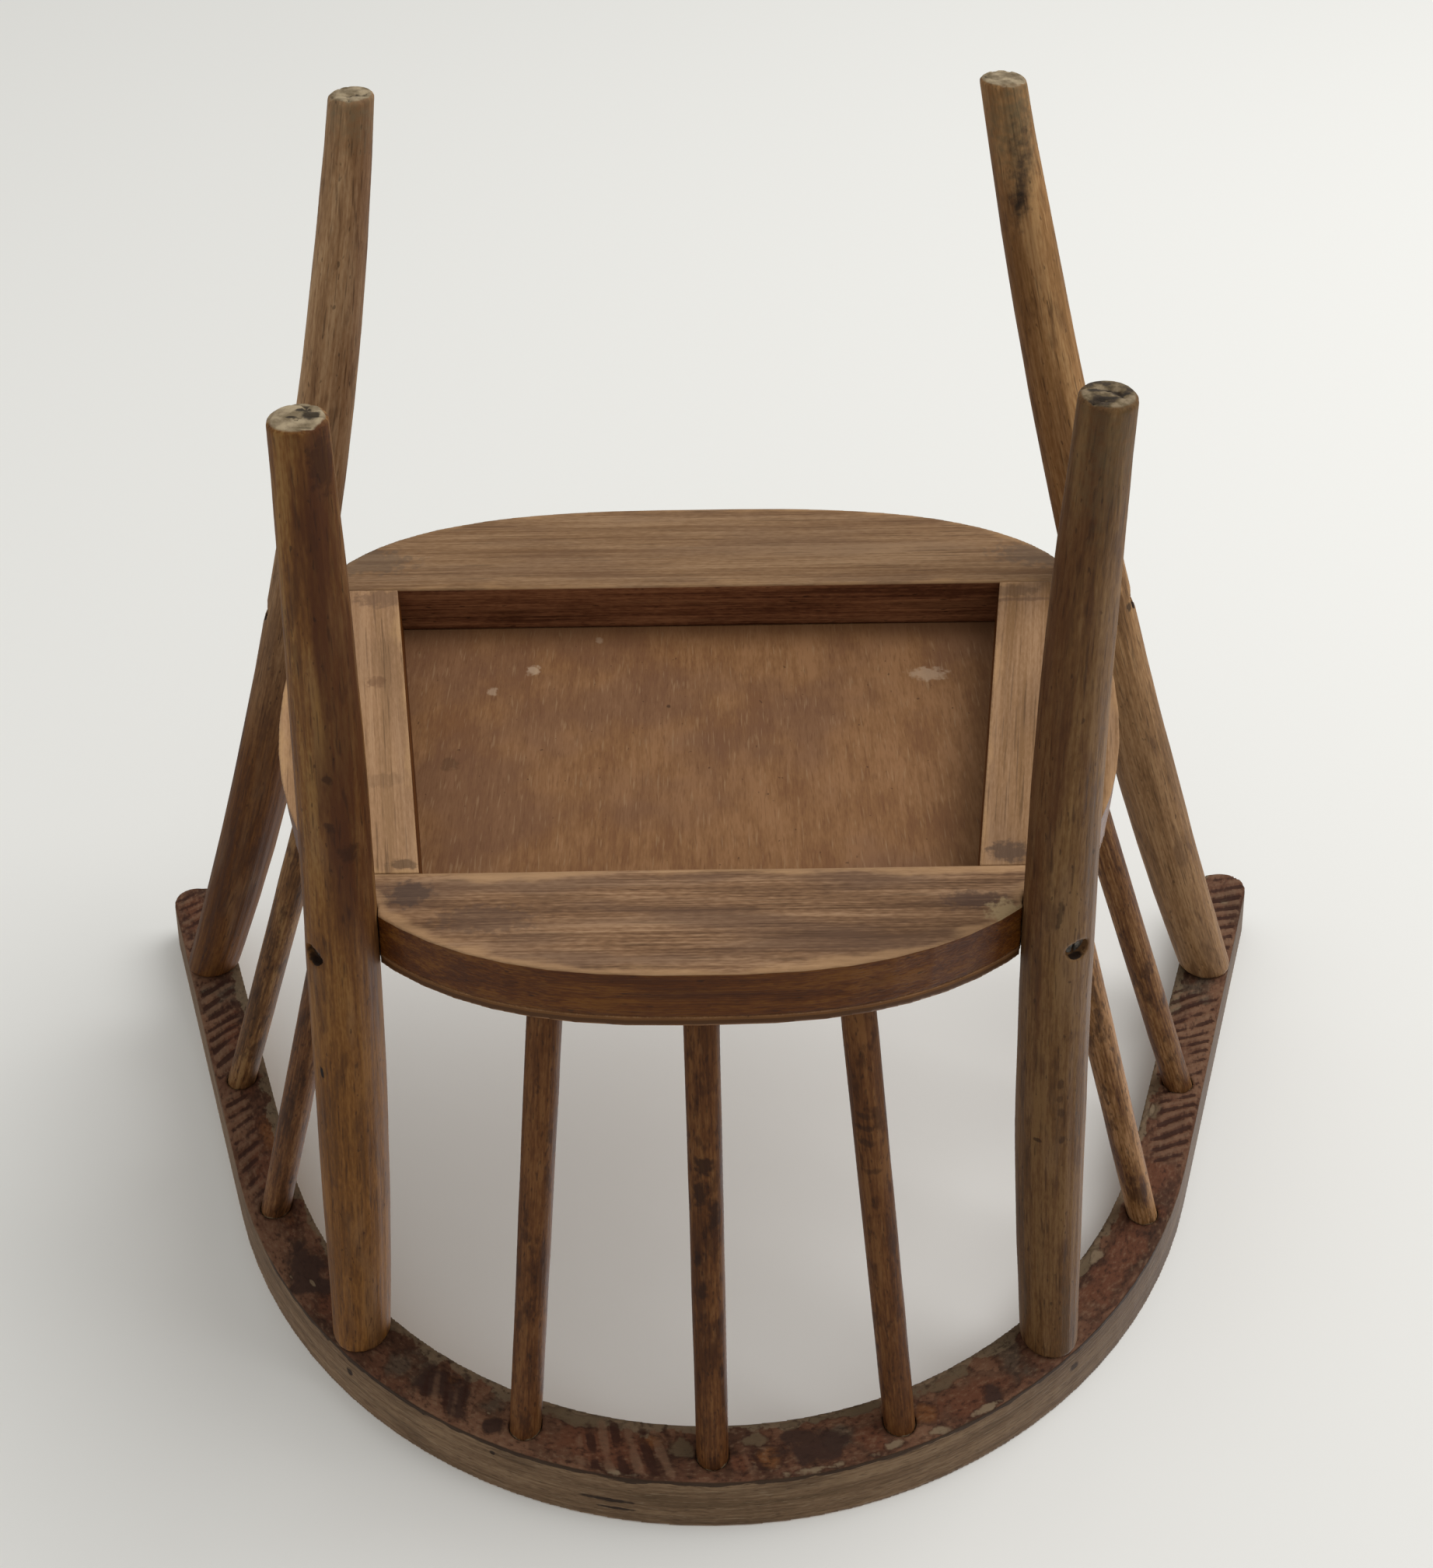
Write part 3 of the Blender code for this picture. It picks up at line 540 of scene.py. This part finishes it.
BACK_ROD_TONES = ("#48280f", "#5d381a", "#714b29")
SIDE_ROD_TONES = {
    "spindle_left_front": ("#523118", "#734d2a", "#926c46"),
    "spindle_left_rear": ("#5a371d", "#7e5832", "#a07852"),
    "spindle_right_front": ("#4b3018", "#6b4828", "#87653f"),
    "spindle_right_rear": ("#462a14", "#643f22", "#7e5937"),
}
# Single blotches on two rods: place and half sizes in mm, and share
ROD_MARKS = {
    "spindle_back_centre": (
        ((-2.1, 113.8, 275.4), (5.0, 4.0, 6.0), 0.8), ((-3.5, 116.2, 287.0), (3.5, 4.0, 9.0), 0.8),
        ((1.5, 119.5, 295.0), (3.0, 4.0, 11.0), 0.7), ((-4.6, 123.9, 314.5), (2.5, 3.0, 4.0), 0.8),
        ((-3.4, 128.0, 327.2), (2.5, 3.0, 5.0), 0.7)),
    "spindle_back_left": (
        ((51.6, 104.0, 262.5), (4.5, 4.5, 1.7), 0.6), ((52.2, 105.2, 267.5), (5.0, 4.5, 1.7), 0.6),
        ((53.0, 106.6, 273.5), (4.5, 4.5, 2.0), 0.6), ((54.7, 109.7, 285.5), (4.5, 4.5, 1.7), 0.5)),
}
for number, name in enumerate(SPINDLES):
    tones = SIDE_ROD_TONES.get(name, BACK_ROD_TONES)
    finish = stained_rod("stained beech rod, " + name.replace("_", " "), 60.0 + 10.0 * number, tones,
                         ROD_MARKS.get(name, ()))
    bpy.data.objects[name + "_worn"].data.materials.append(finish)


# Bent ash, planed and sawn: grey-brown sides with fine pores, two cracks and three pin knots, and a rough
# underside where an old dark coat has partly come away from red-brown wood between the saw marks

# Cracks and pin knots on the outer face: place across, up and along the bow and half sizes, in mm
BOW_MARKS = (
    ((11.0, 15.5, -38.5), (9.0, 1.3, 13.0)), ((11.0, 20.0, -34.5), (9.0, 0.9, 9.0)),
    ((11.0, 10.0, -147.0), (9.0, 2.6, 2.0)), ((11.0, 10.5, 144.5), (9.0, 2.2, 2.6)),
    ((11.0, 6.5, -81.0), (9.0, 1.5, 1.3)),
)


def sawn_bow():
    material, tree = new_finish("bent ash bow, planed sides and sawn underside")
    space = add(tree, "Attribute", out="Vector", attribute_name="grain")
    saw = add(tree, "Attribute", out="Fac", attribute_name="saw")
    across, height, along = (add(tree, "SeparateXYZ", {0: space}, out=number) for number in range(3))
    facing = add(tree, "SeparateXYZ", {0: add(tree, "NewGeometry", out="Normal")}, out=2)
    below = add(tree, "MapRange", {0: facing, 1: -0.5, 2: -0.8})
    # planed sides
    side, figure = figured(tree, space, 140.0, 2.4, 170.0, ("#5d4832", "#6e563f", "#80684e"))
    side = laid_over(tree, side, "#463322", streaks(tree, space, 9.0, 45.0, 144.0), 0.5, 0.68, 0.5)
    side = laid_over(tree, side, "#3c2a1b", streaks(tree, space, 0.7, 4.0, 143.0, 1.0), 0.56, 0.72, 0.45)
    side = laid_over(tree, side, "#95826a", streaks(tree, space, 0.7, 5.0, 142.0, 1.0), 0.6, 0.74, 0.3)
    for place, size in BOW_MARKS:
        side = marked(tree, side, "#21140c", place, size, 0.9, 0.5, 0.5, space)
    # painted shade darkening the left arm's sides and top, from 0.07 m along the bow
    side = laid_over(tree, side, "#3a2412", along, 0.07, 0.2, 0.52)
    # painted shadow: a dark line along the top of the back's outer face, under the splintered edge
    edge = add(tree, "Math", {0: streaks(tree, space, 3.0, 14.0, 151.0, 4.0), 1: -0.0058, 2: height},
               operation="MULTIPLY_ADD")
    edge = add(tree, "MapRange", {0: edge, 1: 0.0, 2: -0.0006})
    back = add(tree, "MapRange", {0: add(tree, "Math", {0: along}, operation="ABSOLUTE"), 1: 0.22, 2: 0.19})
    edge = add(tree, "Math", {0: edge, 1: back}, operation="MULTIPLY")
    side = laid_over(tree, side, "#291a11", edge, 0.2, 0.8, 0.85)
    # sawn underside
    zones = streaks(tree, space, 20.0, 30.0, 145.0, 4.0)
    rough = add(tree, "ValToRGB", {0: zones}, stops=tone_stops(("#493022", "#5d3d2c", "#6f4f3b"), 0.4, 0.6))
    fibre = streaks(tree, space, 1.4, 2.6, 147.0, 3.0)
    torn = streaks(tree, space, 9.0, 9.0, 148.0, 8.0)
    # colour, share, softness and raggedness of each kind of patch: bared wood, then what lies over it
    bared = (("grey", "#54483b", 0.75, 0.7, 3.5), ("red", "#633c29", 0.8, 0.6, 2.2),
             ("orange", "#754a29", 0.7, 0.8, 2.5))
    coated = (("skin", "#38261f", 0.85, 0.3, 3.0), ("pale", "#685843", 0.75, 0.4, 3.4),
              ("chip", "#83715a", 0.8, 0.5, 3.2))
    for layer in (bared, coated):
        for kind, code, share, soft, ragged in layer:
            field = add(tree, "Attribute", out="Fac", attribute_name=kind)
            field = add(tree, "Math", {0: torn, 1: ragged, 2: field}, operation="MULTIPLY_ADD")
            rim = 1.0 + ragged / 2
            # a thin painted shadow around each patch's torn rim
            rough = laid_over(tree, rough, "#26150e", field, rim + 0.12, rim + 0.02, 0.35)
            rough = laid_over(tree, rough, code, field, rim, rim - soft, share)
        if layer is bared:
            # weathered inner edge and torn fibres
            inner = add(tree, "Math", {0: torn, 1: 0.016, 2: across}, operation="MULTIPLY_ADD")
            rough = laid_over(tree, rough, "#73644f", inner, 0.0006, -0.0004, 0.75)
            rough = laid_over(tree, rough, "#24140d", fibre, 0.5, 0.72, 0.5)
            rough = laid_over(tree, rough, "#8a7058", fibre, 0.48, 0.28, 0.3)
    rough = laid_over(tree, rough, "#24140d", fibre, 0.54, 0.74, 0.3)
    # paler on the saw marks' ridges; dirt and painted shade darken their cuts
    ridges_and_shaded_cuts = add(tree, "Math", {0: fibre, 1: 0.5, 2: saw}, operation="MULTIPLY_ADD")
    rough = laid_over(tree, rough, "#7a5d48", ridges_and_shaded_cuts, 0.15, -0.35, 0.5)
    rough = laid_over(tree, rough, "#351d14", ridges_and_shaded_cuts, 0.4, 0.75, 0.85)
    colour = add(tree, "Mix", {0: below, 6: side, 7: rough}, out=2, data_type="RGBA")
    gloss = add(tree, "MapRange", {0: below, 3: 0.78, 4: 0.74})
    relief = add(tree, "Mix", {0: below, 2: figure, 3: torn})
    surface(tree, colour, gloss, relief, 0.0006, **DRY_WOOD)
    return material


bow.data.materials.append(sawn_bow())


# Beech rails, sawn and weathered: bare underneath with long grain, grey stains and rubbed pale rims, and a
# brown coat on the upright faces, redder on the front rail's inner face

def frame_rail(name, seed, bare, back_wall, grey, rim_width, marks):
    material, tree = new_finish(name)
    space = add(tree, "Attribute", out="Vector", attribute_name="grain")
    facing = add(tree, "SeparateXYZ", {0: add(tree, "NewGeometry", out="Normal")}, out=2)
    below = add(tree, "MapRange", {0: facing, 1: -0.12, 2: -0.4})
    face, figure = figured(tree, space, seed, 1.6, 240.0, bare)
    face = laid_over(tree, face, "#634b3c", streaks(tree, space, 14.0, 75.0, seed + 3), 0.44, 0.66, grey)
    face = laid_over(tree, face, "#3c2817", streaks(tree, space, 0.9, 34.0, seed + 4, 2.0), 0.58, 0.7, 0.4)
    face = laid_over(tree, face, "#38231a", streaks(tree, space, 5.0, 70.0, seed + 5), 0.56, 0.74, grey * 0.6)
    rim = add(tree, "Attribute", out="Fac", attribute_name="rim")
    rim = add(tree, "Math", {0: streaks(tree, space, 9.0, 30.0, seed + 6, 5.0), 1: 0.016, 2: rim},
              operation="MULTIPLY_ADD")
    face = laid_over(tree, face, bare[3], rim, 0.0105 + rim_width, 0.0072 + rim_width, 0.55)
    for place, size, code, share in marks:
        face = marked(tree, face, code, place, size, share)
    coats = [add(tree, "ValToRGB", {0: figure}, stops=tone_stops(tones)) for tones in (OUTER_WALL, back_wall)]
    toward_back = add(tree, "SeparateXYZ", {0: add(tree, "NewGeometry", out="Normal")}, out=1)
    toward_back = add(tree, "MapRange", {0: toward_back, 1: -0.1, 2: 0.1})
    side = add(tree, "Mix", {0: toward_back, 6: coats[0], 7: coats[1]}, out=2, data_type="RGBA")
    side = laid_over(tree, side, "#34190a", streaks(tree, space, 6.0, 60.0, seed + 7), 0.52, 0.68, 0.35)
    side = laid_over(tree, side, "#1c0d05", streaks(tree, space, 1.4, 6.0, seed + 8, 1.0), 0.68, 0.75, 0.6)
    colour = add(tree, "Mix", {0: below, 6: side, 7: face}, out=2, data_type="RGBA")
    gloss = add(tree, "MapRange", {0: below, 3: 0.5, 4: 0.68})
    surface(tree, colour, gloss, figure, 0.0004, **DRY_WOOD)
    return material


SMUDGE = "#4a3526"
INNER_WALL = ("#4f2c1a", "#6f452c", "#875a3c")
OUTER_WALL = ("#482305", "#592f08", "#6c4112")
# For each rail: tones of its underside and its rim, tones of the upright face towards the back, share of
# grey stain, extra width of the rim in metres, and single marks with place and half sizes in mm, colour
# and share
RAIL_FINISHES = {
    "seat_rail_front": (("#745539", "#866749", "#98795a", "#a9845c"), INNER_WALL, 0.25, 0.0, (
        ((-138.0, -124.0, 192.5), (26.0, 11.0, 3.0), "#554a40", 0.45),
        ((137.0, -124.0, 192.5), (24.0, 11.0, 3.0), "#554a40", 0.45))),
    "seat_rail_rear": (("#644832", "#846347", "#a38162", "#b8926a"), OUTER_WALL, 0.55, 0.0015, (
        ((-96.0, 66.0, 192.5), (9.0, 7.0, 3.0), "#4a3b34", 0.7),
        ((-70.0, 78.0, 192.5), (20.0, 8.0, 3.0), "#574338", 0.5),
        ((86.0, 72.0, 192.5), (12.0, 5.0, 3.0), "#4b3831", 0.6),
        ((96.0, 79.0, 194.0), (7.5, 8.5, 6.0), "#a8906b", 0.9))),
    "seat_rail_left": (("#81603f", "#8f6d4d", "#9d7b5b", "#b08a62"), OUTER_WALL, 0.25, 0.0, (
        ((101.0, 50.0, 192.5), (9.0, 6.0, 3.0), "#4d3b30", 0.75),
        ((122.0, -92.0, 192.5), (18.0, 1.6, 3.0), "#5a4030", 0.5),
        ((121.0, -98.0, 192.5), (14.0, 5.0, 3.0), SMUDGE, 0.4))),
    "seat_rail_right": (("#92704f", "#9f7b5a", "#ac8866", "#ba9468"), OUTER_WALL, 0.15, 0.0, (
        ((-121.8, -45.3, 192.5), (4.5, 4.0, 3.0), "#65452f", 0.5),
        ((-112.0, 9.9, 192.5), (8.0, 5.0, 3.0), SMUDGE, 0.2),
        ((-100.0, 52.0, 192.5), (6.0, 3.0, 3.0), "#4a3828", 0.6),
        ((-126.0, -98.0, 192.5), (14.0, 7.0, 3.0), "#6f5440", 0.6))),
}
for number, name in enumerate(RAILS):
    finish = frame_rail("bare beech rail, " + name.replace("_", " "), 160.0 + 10.0 * number,
                        *RAIL_FINISHES[name])
    bpy.data.objects[name + "_worn"].data.materials.append(finish)


# Birch plywood, stained: warm brown with short dark flecks along the grain, and a dark core ply at its edge

# Spots on its underside: place and half sizes in mm, colour and share
PANEL_FACE = 212.5
SCUFF = "#bba389"
FLECK = "#3f2614"
PANEL_MARKS = (
    ((-67.0, -76.9), (3.2, 4.0), SCUFF, 0.55), ((-82.1, -64.0), (2.4, 3.0), SCUFF, 0.4),
    ((87.0, -71.5), (9.0, 5.0), SCUFF, 0.45), ((-42.2, -95.5), (2.0, 2.5), SCUFF, 0.4),
    ((-13.8, -53.5), (1.0, 1.2), FLECK, 0.8), ((-93.9, -21.6), (4.0, 5.0), FLECK, 0.4),
)


def birch_plywood():
    material, tree = new_finish("birch plywood, stained")
    space = add(tree, "Attribute", out="Vector", attribute_name="grain")
    face, figure = figured(tree, space, 210.0, 4.0, 60.0, ("#775133", "#825c3a", "#8d6644"))
    face = laid_over(tree, face, "#6b4b38", streaks(tree, space, 60.0, 60.0, 213.0), 0.46, 0.62, 0.5)
    face = laid_over(tree, face, "#5c3b22", streaks(tree, space, 0.7, 8.0, 214.0, 1.0), 0.56, 0.7, 0.35)
    face = laid_over(tree, face, "#a58765", streaks(tree, space, 1.0, 11.0, 215.0, 1.0), 0.6, 0.72, 0.3)
    face = laid_over(tree, face, FLECK, streaks(tree, space, 2.0, 3.0, 216.0, 1.0), 0.74, 0.78, 0.6)
    for place, size, code, share in PANEL_MARKS:
        face = marked(tree, face, code, (*place, PANEL_FACE), (*size, 3.0), share)
    along = add(tree, "SeparateXYZ", {0: space}, out=2)
    # painted shade: darker in a strip towards the front rail, in the corner where the panel meets it
    face = laid_over(tree, face, "#5a3c26", along, FRONT_JOINT_Y + 0.02, FRONT_JOINT_Y, 0.6)
    height = add(tree, "SeparateXYZ", {0: space}, out=1)
    core = add(tree, "MapRange", {0: height, 1: RAIL_TOP + 0.0013, 2: RAIL_TOP + 0.0015})
    facing = add(tree, "SeparateXYZ", {0: add(tree, "NewGeometry", out="Normal")}, out=2)
    upright = add(tree, "MapRange", {0: add(tree, "Math", {0: facing}, operation="ABSOLUTE"), 1: 0.6, 2: 0.4})
    plies = {0: core, 6: hex_colour("#6b4726"), 7: hex_colour("#4f3116")}
    edge = add(tree, "Mix", plies, out=2, data_type="RGBA")
    colour = add(tree, "Mix", {0: upright, 6: face, 7: edge}, out=2, data_type="RGBA")
    surface(tree, colour, 0.6, figure, 0.0002, **DRY_WOOD)
    return material


panel.data.materials.append(birch_plywood())


# Screws and pins of mild steel gone dull: a soft grey shine with brown spots of rust

def dull_steel():
    material, tree = new_finish("mild steel, dulled and spotted")
    place = add(tree, "TexCoord", out="Object")
    spots = streaks(tree, place, 1.2, 1.2, 230.0)
    colour = add(tree, "ValToRGB", {0: spots}, stops=tone_stops(("#4f4a44", "#6f6a63", "#8d8880"), 0.35, 0.65))
    colour = laid_over(tree, colour, "#5a3a24", streaks(tree, place, 2.0, 2.0, 231.0), 0.55, 0.7, 0.6)
    surface(tree, colour, 0.5, spots, 0.0001, Metallic=0.8)
    return material


# Beech dowels, turned and left bare: pale and plain, out of sight in the seat's joints

def plain_dowel():
    material, tree = new_finish("plain beech dowel")
    place = add(tree, "TexCoord", out="Object")
    colour, figure = figured(tree, place, 240.0, 1.5, 20.0, ("#a98a63", "#bfa078", "#cdb18a"))
    surface(tree, colour, 0.6, figure, 0.0002, **DRY_WOOD)
    return material


steel, dowel = dull_steel(), plain_dowel()
for name, item in nodes.items():
    if name.startswith(("screw", "pin", "dowel")):
        for slot in item.material_slots:
            slot.material = dowel if name.startswith("dowel") else steel


# Floors: one above the bow, seen from below, and one under the feet, seen from above

def one_sided_floor():
    material, tree = new_finish("pale matt floor")
    plain = add(tree, "BsdfDiffuse", {"Color": hex_colour("#efefec")})
    back = add(tree, "NewGeometry", out="Backfacing")
    seen = add(tree, "MixShader", {0: back, 1: plain, 2: add(tree, "BsdfTransparent")})
    add(tree, "OutputMaterial", {"Surface": seen})
    return material


FLOOR_HALF = 4.0
FLOOR_GAP = 0.0004
FLOORS = (("floor_under_bow", CHAIR_HEIGHT + FLOOR_GAP, False), ("floor_under_feet", -FLOOR_GAP, True))
floor_paint = one_sided_floor()
for name, height, facing_up in FLOORS:
    corners = [(-1, -1), (1, -1), (1, 1), (-1, 1)]
    if not facing_up:
        corners.reverse()
    mesh = bpy.data.meshes.new(name)
    mesh.from_pydata([(x * FLOOR_HALF, y * FLOOR_HALF, height) for x, y in corners], [], [(0, 1, 2, 3)])
    mesh.materials.append(floor_paint)
    floor = bpy.data.objects.new(name, mesh)
    bpy.context.scene.collection.objects.link(floor)
    floor.visible_shadow = False
    floor.visible_diffuse = False
    floor.visible_glossy = False
    floor.visible_transmission = False


# Light: a broad soft lamp below the chair and another above it, and an even sky

AIM = Vector((0.0, 0.0, 0.22))
LAMP_SIZE = 2.6
LAMP_POWER = 50.0
SKY_STRENGTH = 0.65
for name, place in (("lamp_below", (1.7, -0.54, -2.1)), ("lamp_above", (1.7, -0.54, 2.55))):
    lamp_data = bpy.data.lights.new(name, "AREA")
    lamp_data.shape = "DISK"
    lamp_data.size = LAMP_SIZE
    lamp_data.energy = LAMP_POWER
    lamp = bpy.data.objects.new(name, lamp_data)
    lamp.location = place
    lamp.rotation_euler = (AIM - Vector(place)).to_track_quat("-Z", "Y").to_euler()
    lamp.visible_camera = False
    bpy.context.scene.collection.objects.link(lamp)

world = bpy.data.worlds.new("studio")
world.use_nodes = True
world.node_tree.nodes.clear()
sky = add(world.node_tree, "Background", {"Color": hex_colour("#f4f3f0"), "Strength": SKY_STRENGTH})
add(world.node_tree, "OutputWorld", {"Surface": sky})
bpy.context.scene.world = world


# Camera: below and behind the chair, so that the bow lies at the bottom of the picture

CAMERA_PLACE = Vector((0.00398, 0.4791, -0.2179))
CAMERA_PITCH = math.radians(41.445)
CAMERA_ROLL = math.radians(-0.787)
FOCAL_PIXELS = 2306.874
PICTURE_WIDTH = 1843
level_right = Vector((1.0, 0.0, 0.0))
level_up = Vector((0.0, -math.sin(CAMERA_PITCH), -math.cos(CAMERA_PITCH)))
forward = Vector((0.0, -math.cos(CAMERA_PITCH), math.sin(CAMERA_PITCH)))
right = level_right * math.cos(CAMERA_ROLL) + level_up * math.sin(CAMERA_ROLL)
up = level_up * math.cos(CAMERA_ROLL) - level_right * math.sin(CAMERA_ROLL)
camera_data = bpy.data.cameras.new("camera")
camera_data.sensor_fit = "HORIZONTAL"
camera_data.sensor_width = 36.0
camera_data.lens = camera_data.sensor_width * FOCAL_PIXELS / PICTURE_WIDTH
camera_data.clip_start = 0.01
camera = bpy.data.objects.new("camera", camera_data)
camera.matrix_world = Matrix.Translation(CAMERA_PLACE) @ Matrix((right, up, -forward)).transposed().to_4x4()
bpy.context.scene.collection.objects.link(camera)
bpy.context.scene.camera = camera

bpy.context.scene.view_settings.view_transform = "Standard"
